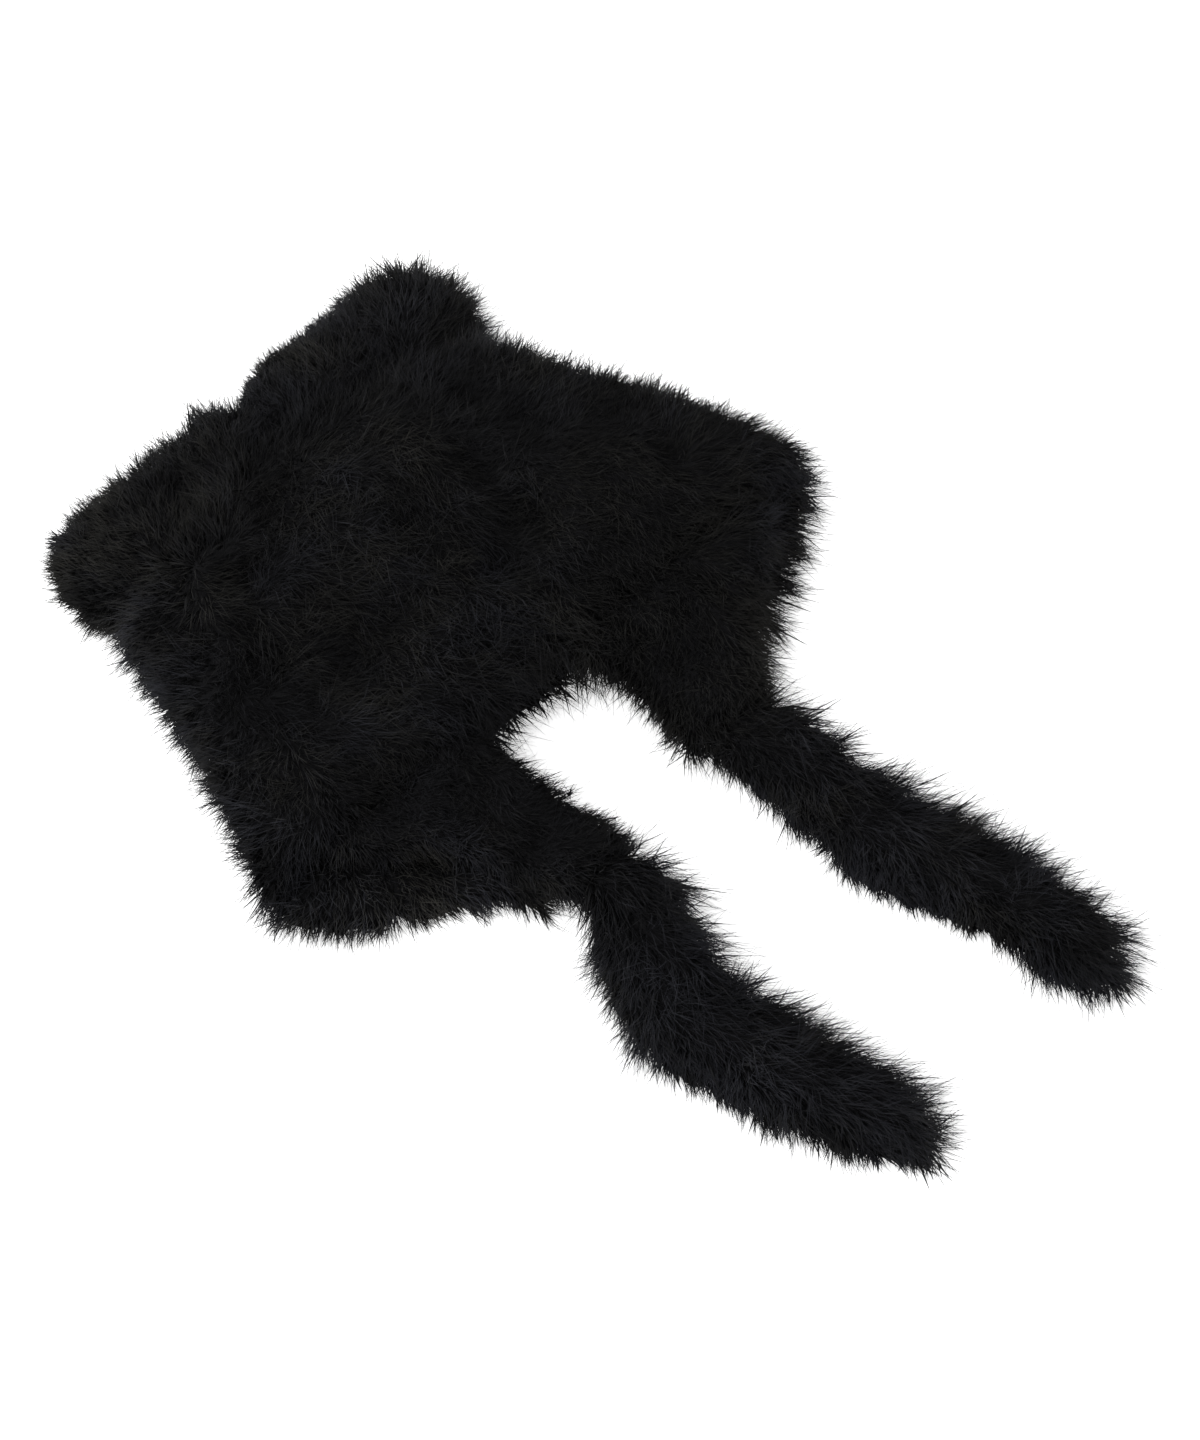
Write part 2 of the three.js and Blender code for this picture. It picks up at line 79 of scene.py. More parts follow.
# The way the pile is combed, at places listed over the lying cap, in millimetres.
# headX and headY point the way the tips lie, pile is the length there as a share, and the last column is how
# light the strands are painted there: painted light and shade, darker on the flaps and the right fold, which
# turn from the light, and lighter on the hem in the brim's shadow.
combing = [
    # left ear
    {"x": -112, "y": 92, "headX": -0.7, "headY": 0.7, "pile": 0.7, "paintedLight": 0.85},
    {"x": -85, "y": 98, "headX": -0.1, "headY": 1.0, "pile": 0.7, "paintedLight": 0.85},
    {"x": -50, "y": 104, "headX": 0.15, "headY": 1.0, "pile": 0.7, "paintedLight": 0.8},
    {"x": -15, "y": 100, "headX": 0.3, "headY": 0.95, "pile": 0.7, "paintedLight": 0.8},
    {"x": -60, "y": 75, "headX": 0.5, "headY": 0.5, "pile": 0.9, "paintedLight": 0.9},
    {"x": -4, "y": 84, "headX": 0.9, "headY": 0.35, "pile": 1.3, "paintedLight": 0.85},
    {"x": -112, "y": 62, "headX": -1.0, "headY": 0.1, "pile": 0.8, "paintedLight": 1.0},
    # right ear
    {"x": 15, "y": 98, "headX": 0.25, "headY": 0.95, "pile": 0.55, "paintedLight": 0.85},
    {"x": 50, "y": 105, "headX": 0.3, "headY": 0.95, "pile": 0.8, "paintedLight": 0.8},
    {"x": 85, "y": 108, "headX": 0.3, "headY": 0.95, "pile": 0.9, "paintedLight": 0.8},
    {"x": 105, "y": 90, "headX": 1.0, "headY": 0.2, "pile": 0.95, "paintedLight": 0.85},
    {"x": 40, "y": 82, "headX": 0.8, "headY": 0.5, "pile": 0.85, "paintedLight": 0.8},
    {"x": 98, "y": 60, "headX": 1.0, "headY": 0.0, "pile": 0.85, "paintedLight": 0.8},
    # front panel, from the ear seam to the brim
    {"x": -20, "y": 50, "headX": 0.1, "headY": -1.0, "pile": 1.0, "paintedLight": 0.9},
    {"x": 15, "y": 45, "headX": 0.5, "headY": -0.9, "pile": 1.0, "paintedLight": 1.05},
    {"x": 60, "y": 45, "headX": 0.9, "headY": 0.1, "pile": 0.9, "paintedLight": 0.7},
    {"x": -60, "y": 20, "headX": 0.6, "headY": -0.8, "pile": 1.1, "paintedLight": 1.0},
    {"x": -35, "y": -5, "headX": 0.4, "headY": -0.9, "pile": 1.0, "paintedLight": 1.05},
    {"x": 10, "y": 0, "headX": -0.5, "headY": -0.8, "pile": 1.0, "paintedLight": 0.9},
    {"x": 35, "y": -15, "headX": 0.6, "headY": -0.7, "pile": 0.9, "paintedLight": 1.0},
    {"x": 75, "y": 0, "headX": 0.7, "headY": -0.6, "pile": 0.7, "paintedLight": 0.7},
    {"x": 80, "y": -45, "headX": 0.1, "headY": -1.0, "pile": 0.7, "paintedLight": 0.68},
    {"x": -85, "y": -30, "headX": 0.7, "headY": -0.7, "pile": 1.0, "paintedLight": 1.05},
    {"x": -45, "y": -45, "headX": 0.1, "headY": -1.0, "pile": 0.9, "paintedLight": 0.85},
    {"x": 10, "y": -60, "headX": 0.1, "headY": -1.0, "pile": 0.9, "paintedLight": 0.85},
    {"x": -10, "y": -84, "headX": 0.3, "headY": -1.0, "pile": 1.3, "paintedLight": 0.8},
    # side folds
    {"x": -125, "y": 10, "headX": -1.0, "headY": 0.25, "pile": 0.8, "paintedLight": 0.95},
    {"x": -138, "y": -40, "headX": -1.0, "headY": -0.1, "pile": 0.85, "paintedLight": 1.05},
    {"x": -154, "y": -85, "headX": -1.0, "headY": -0.15, "pile": 1.0, "paintedLight": 1.0},
    {"x": 112, "y": 20, "headX": 0.9, "headY": 0.4, "pile": 0.8, "paintedLight": 0.7},
    {"x": 140, "y": -25, "headX": 1.0, "headY": 0.2, "pile": 0.8, "paintedLight": 0.75},
    {"x": 155, "y": -80, "headX": 0.5, "headY": -0.85, "pile": 1.05, "paintedLight": 0.9},
    # hem of the back panel, painted lighter: painted light where the brim shades it
    {"x": -140, "y": -112, "headX": -0.6, "headY": -0.8, "pile": 1.1, "paintedLight": 2.6},
    {"x": -100, "y": -140, "headX": 0.05, "headY": -1.0, "pile": 1.1, "paintedLight": 2.1},
    {"x": 130, "y": -112, "headX": 0.6, "headY": -0.8, "pile": 1.1, "paintedLight": 1.2},
    {"x": 90, "y": -135, "headX": 0.5, "headY": -0.85, "pile": 1.1, "paintedLight": 1.2},
    # flaps, painted darker: painted shade where they turn from the light
    {"x": -95, "y": -100, "headX": 0.3, "headY": -0.9, "pile": 0.8, "paintedLight": 0.36},
    {"x": -60, "y": -120, "headX": 0.1, "headY": -1.0, "pile": 0.8, "paintedLight": 0.26},
    {"x": -42, "y": -135, "headX": 0.8, "headY": -0.6, "pile": 0.9, "paintedLight": 0.34},
    {"x": 25, "y": -115, "headX": -0.9, "headY": -0.4, "pile": 0.9, "paintedLight": 0.5},
    {"x": 55, "y": -115, "headX": -0.4, "headY": -0.9, "pile": 0.8, "paintedLight": 0.45},
    {"x": 120, "y": -95, "headX": 0.55, "headY": -0.85, "pile": 1.1, "paintedLight": 0.65},
    {"x": 90, "y": -100, "headX": 0.3, "headY": -0.95, "pile": 0.9, "paintedLight": 0.5},
]
combReach = 22.0  # millimetres over which one comb direction gives way to the next
farPull = {"weight": 1e-9, "soften": 0.01}  # how a spot beyond its reach still counts, where none is near

# Where the pile parts or sinks into a fold and shows dark, in millimetres, with its depth as a share. The
# strands there are also painted darker: painted shade for the fold's shadow.
partings = [
    # the ears, and the seam below them
    {"x": -50, "y": 93, "reach": 13, "depth": 0.95},
    {"x": -1, "y": 88, "reach": 8, "depth": 1.0},
    {"x": -22, "y": 66, "reach": 15, "depth": 1.0},
    {"x": -2, "y": 70, "reach": 9, "depth": 0.8},
    {"x": 35, "y": 74, "reach": 15, "depth": 0.75},
    {"x": 68, "y": 82, "reach": 10, "depth": 0.6},
    {"x": 92, "y": 72, "reach": 11, "depth": 0.8},
    {"x": -42, "y": 52, "reach": 14, "depth": 0.85},
    {"x": -62, "y": 54, "reach": 11, "depth": 0.6},
    {"x": 14, "y": 68, "reach": 13, "depth": 0.85},
    {"x": 52, "y": 62, "reach": 10, "depth": 0.5},
    # the front panel
    {"x": -66, "y": 33, "reach": 11, "depth": 1.0},
    {"x": -84, "y": 10, "reach": 9, "depth": 0.6},
    {"x": -92, "y": -6, "reach": 13, "depth": 0.95},
    {"x": -62, "y": -28, "reach": 16, "depth": 1.0},
    {"x": -40, "y": -30, "reach": 10, "depth": 0.7},
    {"x": -110, "y": -28, "reach": 10, "depth": 0.5},
    {"x": 4, "y": 0, "reach": 10, "depth": 0.6},
    {"x": 44, "y": 6, "reach": 9, "depth": 0.7},
    {"x": 40, "y": -30, "reach": 12, "depth": 1.0},
    {"x": 20, "y": -40, "reach": 10, "depth": 0.7},
    {"x": 65, "y": 36, "reach": 13, "depth": 1.0},
    {"x": 82, "y": 46, "reach": 10, "depth": 0.7},
    {"x": 75, "y": 8, "reach": 14, "depth": 0.95},
    {"x": 108, "y": -18, "reach": 14, "depth": 0.85},
    {"x": 114, "y": -44, "reach": 11, "depth": 0.7},
    {"x": 60, "y": -70, "reach": 20, "depth": 0.35},
    # the crease over the left hem, and the flaps
    {"x": -143, "y": -80, "reach": 9, "depth": 0.5},
    {"x": -112, "y": -78, "reach": 13, "depth": 0.35},
    {"x": -92, "y": -96, "reach": 13, "depth": 0.5},
    {"x": -74, "y": -114, "reach": 14, "depth": 0.6},
    {"x": -64, "y": -147, "reach": 11, "depth": 0.9},
    {"x": -45, "y": -140, "reach": 11, "depth": 0.6},
    {"x": 40, "y": -130, "reach": 22, "depth": 0.45},
    {"x": 80, "y": -112, "reach": 20, "depth": 0.3},
    {"x": 36, "y": -170, "reach": 16, "depth": 0.5},
    {"x": 48, "y": -225, "reach": 12, "depth": 0.3},
    {"x": -62, "y": -250, "reach": 12, "depth": 0.3},
]

# Where the pile stands fuller than around it, or thinner, in millimetres, with the share of its length.
fullness = [
    # the ears
    {"x": 111, "y": 118, "reach": 18, "share": 0.35},
    {"x": 118, "y": 70, "reach": 16, "share": 0.75},
    {"x": -38, "y": 118, "reach": 24, "share": 0.4},
    {"x": -122, "y": 58, "reach": 13, "share": 0.4},
    {"x": 51, "y": 126, "reach": 22, "share": -0.45},
    {"x": 6, "y": 114, "reach": 12, "share": -0.4},
    # the right fold, the brim and the hem
    {"x": 127, "y": 30, "reach": 20, "share": -0.4},
    {"x": 150, "y": -34, "reach": 14, "share": -0.35},
    {"x": 21, "y": -96, "reach": 15, "share": 0.8},
    {"x": -9, "y": -90, "reach": 12, "share": -0.5},
    {"x": -144, "y": -116, "reach": 18, "share": -0.45},
    {"x": -112, "y": -130, "reach": 16, "share": -0.35},
    {"x": -88, "y": -149, "reach": 12, "share": -0.45},
    # the flaps, where they run into the ties
    {"x": -31, "y": -132, "reach": 11, "share": 0.6},
    {"x": -28, "y": -158, "reach": 11, "share": -0.35},
    {"x": -28, "y": -180, "reach": 9, "share": 0.4},
    {"x": -20, "y": -200, "reach": 10, "share": -0.3},
    {"x": -68, "y": -187, "reach": 16, "share": 0.9},
    {"x": 74, "y": -158, "reach": 16, "share": 0.6},
    {"x": 100, "y": -130, "reach": 14, "share": 0.4},
    {"x": 17, "y": -161, "reach": 16, "share": 0.45},
    # the ties
    {"x": -86, "y": -230, "reach": 16, "share": 0.7},
    {"x": -31, "y": -265, "reach": 14, "share": -0.35},
    {"x": -22, "y": -310, "reach": 16, "share": 0.3},
    {"x": -72, "y": -306, "reach": 16, "share": 0.25},
    {"x": -54, "y": -342, "reach": 18, "share": -0.35},
    {"x": 23, "y": -197, "reach": 15, "share": 0.3},
    {"x": 76, "y": -226, "reach": 20, "share": 0.3},
    {"x": 36, "y": -277, "reach": 22, "share": -0.45},
    {"x": 94, "y": -292, "reach": 16, "share": -0.3},
    {"x": 49, "y": -325, "reach": 15, "share": 0.5},
    {"x": 91, "y": -340, "reach": 15, "share": 0.5},
]

# Where the fibre is browner than elsewhere, or bluer, in millimetres.
warmth = [
    {"x": -100, "y": 70, "reach": 45, "share": 0.6},
    {"x": -50, "y": -10, "reach": 45, "share": 0.3},
    {"x": 10, "y": 40, "reach": 30, "share": 0.25},
    {"x": 90, "y": -50, "reach": 45, "share": 0.7},
    {"x": -105, "y": -125, "reach": 30, "share": 0.35},
    {"x": 50, "y": -120, "reach": 55, "share": 0.7},
    {"x": -60, "y": -250, "reach": 70, "share": -0.25},
    {"x": 70, "y": -290, "reach": 70, "share": -0.25},
]

# One dictionary for each kind of piece, in millimetres and degrees. voxel, rounds and inset make the
# matted body, fill is how full it is padded, and bands is in how many pieces its pile is grown.
# The pile has its strands' length and width, and their density in strands per square millimetre.
# lift is how steeply a strand rises. lay and droop are how far it then bends over along the comb
# and down, as shares of its length.
crownKind = {
    "voxel": 3.5,
    "rounds": 110,
    "inset": 1.2,
    "fill": 0.3,
    "bands": 4,
    "pile": {"length": 14.5, "width": 0.36, "density": 0.62, "lift": 30, "lay": 0.34, "droop": 0.2},
}
earKind = {
    "voxel": 3.0,
    "rounds": 30,
    "inset": 0.0,
    "fill": 0.5,
    "bands": 1,
    "pile": {"length": 13.0, "width": 0.36, "density": 0.68, "lift": 32, "lay": 0.3, "droop": 0.14},
}
flapKind = {
    "voxel": 3.0,
    "rounds": 60,
    "inset": 2.0,
    "fill": 0.4,
    "bands": 1,
    "pile": {"length": 12.5, "width": 0.36, "density": 0.66, "lift": 32, "lay": 0.3, "droop": 0.18},
}
tieKind = {
    "voxel": 3.0,
    "rounds": 40,
    "inset": 2.0,
    "fill": 0.6,
    "bands": 1,
    "pile": {"length": 17.0, "width": 0.36, "density": 0.545, "lift": 28, "lay": 0.3, "droop": 0.22},
}

pieces = (
    {"name": "crown", "node": "crown", "kind": crownKind, "seed": 11},
    {"name": "earLeft", "node": "ear_left", "kind": earKind, "seed": 101},
    {"name": "earRight", "node": "ear_right", "kind": earKind, "seed": 151},
    {"name": "flapLeft", "node": "flap_left", "kind": flapKind, "seed": 201},
    {"name": "flapRight", "node": "flap_right", "kind": flapKind, "seed": 251},
    {"name": "tieLeft", "node": "tie_left", "kind": tieKind, "seed": 301},
    {"name": "tieRight", "node": "tie_right", "kind": tieKind, "seed": 351},
)

# How the pile takes to the matted bodies. Shares of its length, thickness or painted light and shade, unless
# noted.
growth = {
    "partingSink": 6.0,  # millimetres that the deepest parting presses a body in
    "partingShorter": 0.3,
    # painted light and shade: the strands' light over the plain pile, and how much of it the deepest parting
    # takes away
    "partingPaintedShade": 1.1,
    "plainPaintedLight": 1.15,
    "rimShorter": 0.2,
    "rimThicker": 1.15,
    "flatThick": 0.75,
    "lowSideThick": 0.45,
    "hiddenPile": 0.55,  # length where the sky is shut
    "openPile": 0.6,  # added where it is open
    "downward": -0.6,  # a normal's Z, under which the body is an underside
    "downwardTop": 12.0,  # millimetres, under which an underside grows no pile
    "bandThick": 0.3,  # the least thickness that counts where the pile is cut into bands
    "hemSwell": 5.0,  # millimetres that the back panel's hem swells up beyond the brim
    "hemStart": -86.0,  # millimetres, where it starts along Y
    "hemRise": 8.0,  # millimetres over which it swells
    "hemTop": 14.0,  # millimetres, above which the body is brim and no longer hem
    "softenRounds": 4,
}

# Shares that grow with what they follow: so many times its value, less a start, kept from 0 to 1.
ramps = {
    "steep": (1.5, 0.35),  # how far a rim is drawn in, by the sideways share of its normal
    "outward": (1.7, 0.5),  # how much a point counts as rim, by the same
    "openThick": (2.2, 0.2),  # how thickly the pile grows, by how open the sky is
    "openHem": (3.0, 0.3),  # how far the hem swells, by the same
}

weldReach = 1e-5  # metres between corners of a solid that are one point
leastHeight = 0.1  # millimetres of the lowest points of a body over the table

# The rays that tell what is covered, and the band of the folds' undersides that looks out sideways.
rayStart = 1.5  # millimetres off the body
skyReach = 60  # millimetres
skyRays = ((0, 0, 1), (0, -0.85, 0.53), (-0.85, 0, 0.53), (0.85, 0, 0.53), (0, 0.85, 0.53))
lowSide = {
    "from": 2.5,  # millimetres over the table
    "to": 18,
    "leastFlat": 0.15,  # sideways share of the normal
    "rise": 0.1,  # slope of the ray
    "reach": 200,  # millimetres
}

# The ties' comb, their pile, and their painted light and shade.
tieComb = {
    "bandWidth": 6,  # millimetres along the tie for each place of its middle line
    "halfWidth": 16,  # millimetres from the middle line to where the comb is turned most
    "spread": 0.5,  # how far it turns outwards
    "rootLength": 25,  # millimetres over which the root's pile gives way to the tail's
    "rootPile": 1.1,
    "tailShorter": 0.1,
    "outerLonger": 0.35,
    "rootPaintedShade": 0.75,
    "tailPaintedLight": 0.25,
}

# How a single strand differs from the next. Shares, unless noted.
fibre = {
    "liftLess": -0.3,  # radians under the piece's own lift
    "liftMore": 0.35,  # radians over it
    "shortest": 0.42,
    "longer": 0.62,
    "longerPower": 0.8,
    "wisp": 0.6,  # added to a few strands, which stand out as wisps
    "wispPower": 9.0,  # the higher, the fewer they are
    "swirlTurn": 4.0,
    "swirlDetail": 1.5,
    "patchDetail": 1.0,
    "coatInland": 0.3,  # of the coat strands, how many grow away from the rims
    "coatShorter": 0.3,
    # painted shade: how much darker the coat strands are painted
    "coatPaintedShade": 0.6,
    "strayBend": 1.2,
    "patchTone": 4.2,
    "patchDark": -1.5,
    "tuftTone": 1.1,
    "ownTone": 0.1,
    "leastTone": 0.05,
    "patchWarm": 2.4,
    "patchCool": -0.9,
    "ownWarm": 0.5,
    "belly": 1.6,  # how much fuller the spike is towards its middle
    "flatness": 0.6,
}

furTones = {
    # the root's colour is painted shade, for the shade deep in the pile
    "deepPaintedShade": (0.0018, 0.0018, 0.0021),
    "tip": (0.0166, 0.0173, 0.0218),
    "warmTip": (0.0191, 0.0186, 0.0166),
    "warmFrom": 0.4,  # the least warmth that shows
    "tipPower": 1.2,  # how late along the strand its tip's colour comes in
    "roughness": 0.65,
    "specular": 0.14,
}

knitTones = {
    "low": (0.0012, 0.0012, 0.0015),
    "high": (0.0048, 0.0048, 0.0056),
    "streakScale": 900.0,
    "streakDetail": 4.0,
    "bumpStrength": 0.8,
    "bumpDistance": 0.0006,
    "roughness": 0.9,
    "specular": 0.12,
}


def addNode(tree, kind, **settings):
    node = tree.nodes.new(kind)
    for key, value in settings.items():
        setattr(node, key, value)
    return node


def plug(tree, value, socket):
    # a socket is linked, and anything else is set as the socket's own value
    if isinstance(value, bpy.types.NodeSocket):
        tree.links.new(value, socket)
    else:
        socket.default_value = value


def sumOf(tree, operation, a, b=None, c=None):
    node = addNode(tree, "ShaderNodeMath", operation=operation)
    for value, socket in zip((a, b, c), node.inputs):
        if value is not None:
            plug(tree, value, socket)
    return node.outputs[0]


def vectorOf(tree, operation, a, b=None, scale=None):
    node = addNode(tree, "ShaderNodeVectorMath", operation=operation)
    plug(tree, a, node.inputs[0])
    if b is not None:
        plug(tree, b, node.inputs[1])
    if scale is not None:
        plug(tree, scale, node.inputs["Scale"])
    return node.outputs["Value" if operation == "DOT_PRODUCT" else "Vector"]


def chanceOf(tree, low, high, seed, vector=False):
    node = addNode(tree, "FunctionNodeRandomValue", data_type="FLOAT_VECTOR" if vector else "FLOAT")
    first = 0 if vector else 2
    plug(tree, low, node.inputs[first])
    plug(tree, high, node.inputs[first + 1])
    plug(tree, seed, node.inputs["Seed"])
    return node.outputs[0 if vector else 1]


def readAttribute(tree, name, kind="FLOAT"):
    node = addNode(tree, "GeometryNodeInputNamedAttribute", data_type=kind)
    node.inputs["Name"].default_value = name
    return node.outputs["Attribute"]


def storeAttribute(tree, geometry, name, value, kind="FLOAT"):
    node = addNode(tree, "GeometryNodeStoreNamedAttribute", data_type=kind, domain="POINT")
    tree.links.new(geometry, node.inputs["Geometry"])
    node.inputs["Name"].default_value = name
    tree.links.new(value, node.inputs["Value"])
    return node.outputs["Geometry"]


# Grows tapered strands from a skin. The skin carries the comb, the pile and how thickly it grows.
def makePileTree():
    tree = bpy.data.node_groups.new("pile", "GeometryNodeTree")
    face = tree.interface
    face.new_socket("Skin", in_out="INPUT", socket_type="NodeSocketGeometry")
    sizes = (
        ("Density", 600000.0),
        ("Length", 0.013),
        ("Width", 0.0004),
        ("Coat", 0.25),
        ("Coat Width", 0.0012),
        ("Lift", 0.7),
        ("Lay", 0.3),
        ("Droop", 0.15),
        ("Swirl", 0.7),
        ("Swirl Size", 0.02),
        ("Stray", 0.3),
        ("Tuft", 0.42),
        ("Tuft Size", 0.0065),
        ("Tuft Turn", 0.9),
        ("Patch Size", 0.026),
        ("Floor", 0.0004),
        ("Ceiling", 0.056),
    )
    for label, value in sizes:
        socket = face.new_socket(label, in_out="INPUT", socket_type="NodeSocketFloat")
        socket.default_value = value
    face.new_socket("Segments", in_out="INPUT", socket_type="NodeSocketInt").default_value = 2
    face.new_socket("Seed", in_out="INPUT", socket_type="NodeSocketInt").default_value = 1
    face.new_socket("Finish", in_out="INPUT", socket_type="NodeSocketMaterial")
    face.new_socket("Pile", in_out="OUTPUT", socket_type="NodeSocketGeometry")

    given = addNode(tree, "NodeGroupInput").outputs
    seed = given["Seed"]
    scatter = addNode(tree, "GeometryNodeDistributePointsOnFaces", distribute_method="RANDOM")
    tree.links.new(given["Skin"], scatter.inputs["Mesh"])
    thick = sumOf(tree, "MULTIPLY", given["Density"], readAttribute(tree, "thick"))
    tree.links.new(thick, scatter.inputs["Density"])
    tree.links.new(seed, scatter.inputs["Seed"])
    points = scatter.outputs["Points"]
    normal = scatter.outputs["Normal"]
    place = addNode(tree, "GeometryNodeInputPosition").outputs["Position"]

    # swirls turn whole patches of pile, and each strand strays a little by itself
    patch = addNode(tree, "ShaderNodeTexNoise", noise_dimensions="3D")
    patch.inputs["Detail"].default_value = fibre["swirlDetail"]
    tree.links.new(place, patch.inputs["Vector"])
    tree.links.new(sumOf(tree, "DIVIDE", 1.0, given["Swirl Size"]), patch.inputs["Scale"])
    turn = vectorOf(tree, "SUBTRACT", patch.outputs["Color"], (0.5, 0.5, 0.5))
    turn = vectorOf(tree, "SCALE", turn, scale=sumOf(tree, "MULTIPLY", given["Swirl"], fibre["swirlTurn"]))
    stray = chanceOf(tree, (-1, -1, -1), (1, 1, 1), seed, vector=True)
    stray = vectorOf(tree, "SCALE", stray, scale=given["Stray"])
    tuft = addNode(tree, "ShaderNodeTexVoronoi", feature="F1", voronoi_dimensions="3D")
    tree.links.new(place, tuft.inputs["Vector"])
    tree.links.new(sumOf(tree, "DIVIDE", 1.0, given["Tuft Size"]), tuft.inputs["Scale"])
    lean = vectorOf(tree, "SUBTRACT", tuft.outputs["Color"], (0.5, 0.5, 0.5))
    lean = vectorOf(tree, "SCALE", lean, scale=given["Tuft Turn"])
    comb = vectorOf(tree, "ADD", readAttribute(tree, "comb", "FLOAT_VECTOR"), turn)
    comb = vectorOf(tree, "ADD", comb, lean)
    comb = vectorOf(tree, "NORMALIZE", vectorOf(tree, "ADD", comb, stray))
    inward = sumOf(tree, "MINIMUM", vectorOf(tree, "DOT_PRODUCT", normal, comb), 0.0)
    comb = vectorOf(tree, "SUBTRACT", comb, vectorOf(tree, "SCALE", normal, scale=inward))

    # first the strand rises from the skin, then it bends over along the comb and down
    ownLift = chanceOf(tree, fibre["liftLess"], fibre["liftMore"], sumOf(tree, "ADD", seed, 1))
    lift = sumOf(tree, "ADD", given["Lift"], ownLift)
    along = vectorOf(tree, "SCALE", comb, scale=sumOf(tree, "COSINE", lift))
    rise = vectorOf(tree, "SCALE", normal, scale=sumOf(tree, "SINE", lift))
    heading = vectorOf(tree, "NORMALIZE", vectorOf(tree, "ADD", along, rise))
    length = sumOf(tree, "MULTIPLY", given["Length"], readAttribute(tree, "pile"))
    chance = chanceOf(tree, 0.0, 1.0, sumOf(tree, "ADD", seed, 2))
    evenly = sumOf(tree, "POWER", chance, fibre["longerPower"])
    rarely = sumOf(tree, "POWER", chance, fibre["wispPower"])
    spread = sumOf(tree, "MULTIPLY_ADD", evenly, fibre["longer"], fibre["shortest"])
    spread = sumOf(tree, "MULTIPLY_ADD", rarely, fibre["wisp"], spread)
    length = sumOf(tree, "MULTIPLY", length, spread)

    # some strands are matted coat: short and broad between the fine ones, and painted dark as painted shade
    # for the gaps between lit strands
    inland = fibre["coatInland"]
    share = sumOf(tree, "MULTIPLY_ADD", readAttribute(tree, "rim"), 1 - inland, inland)
    share = sumOf(tree, "MULTIPLY", share, given["Coat"])
    coat = sumOf(tree, "LESS_THAN", chanceOf(tree, 0.0, 1.0, sumOf(tree, "ADD", seed, 5)), share)
    length = sumOf(tree, "MULTIPLY", length, sumOf(tree, "MULTIPLY_ADD", coat, -fibre["coatShorter"], 1.0))
    reach = vectorOf(tree, "SCALE", heading, scale=length)
    sag = addNode(tree, "ShaderNodeCombineXYZ")
    tree.links.new(sumOf(tree, "MULTIPLY", given["Droop"], -1.0), sag.inputs["Z"])
    bend = vectorOf(tree, "ADD", vectorOf(tree, "SCALE", comb, scale=given["Lay"]), sag.outputs["Vector"])
    bend = vectorOf(tree, "ADD", bend, vectorOf(tree, "SCALE", stray, scale=fibre["strayBend"]))
    bend = vectorOf(tree, "SCALE", bend, scale=length)
    gather = vectorOf(tree, "SUBTRACT", tuft.outputs["Position"], place)
    bend = vectorOf(tree, "ADD", bend, vectorOf(tree, "SCALE", gather, scale=given["Tuft"]))

    # how light the strand is: by the patch, by the tuft and a little by itself, all at random, times the
    # painted light and shade that the skin carries
    light = addNode(tree, "ShaderNodeTexNoise", noise_dimensions="3D")
    light.inputs["Detail"].default_value = fibre["patchDetail"]
    tree.links.new(place, light.inputs["Vector"])
    tree.links.new(sumOf(tree, "DIVIDE", 1.0, given["Patch Size"]), light.inputs["Scale"])
    tuftSplit = addNode(tree, "ShaderNodeSeparateXYZ")
    tree.links.new(tuft.outputs["Color"], tuftSplit.inputs["Vector"])
    toneAndPaintedLight = sumOf(tree, "MULTIPLY_ADD", light.outputs["Fac"], fibre["patchTone"], fibre["patchDark"])
    toneAndPaintedLight = sumOf(tree, "ADD", toneAndPaintedLight, sumOf(tree, "MULTIPLY", tuftSplit.outputs["Y"], fibre["tuftTone"]))
    ownTone = chanceOf(tree, -fibre["ownTone"], fibre["ownTone"], sumOf(tree, "ADD", seed, 3))
    toneAndPaintedLight = sumOf(tree, "MULTIPLY", sumOf(tree, "ADD", toneAndPaintedLight, ownTone), readAttribute(tree, "paintedLight"))
    toneAndPaintedLight = sumOf(tree, "MAXIMUM", toneAndPaintedLight, fibre["leastTone"])
    toneAndPaintedLight = sumOf(tree, "MULTIPLY", toneAndPaintedLight, sumOf(tree, "MULTIPLY_ADD", coat, -fibre["coatPaintedShade"], 1.0))
    hueSplit = addNode(tree, "ShaderNodeSeparateXYZ")
    tree.links.new(light.outputs["Color"], hueSplit.inputs["Vector"])
    warm = sumOf(tree, "MULTIPLY_ADD", hueSplit.outputs["Y"], fibre["patchWarm"], fibre["patchCool"])
    ownWarm = chanceOf(tree, 0.0, fibre["ownWarm"], sumOf(tree, "ADD", seed, 4))
    warm = sumOf(tree, "ADD", sumOf(tree, "ADD", warm, ownWarm), readAttribute(tree, "warmth"))
    points = storeAttribute(tree, points, "reach", reach, "FLOAT_VECTOR")
    points = storeAttribute(tree, points, "bend", bend, "FLOAT_VECTOR")
    points = storeAttribute(tree, points, "toneAndPaintedLight", toneAndPaintedLight)
    points = storeAttribute(tree, points, "warm", warm)

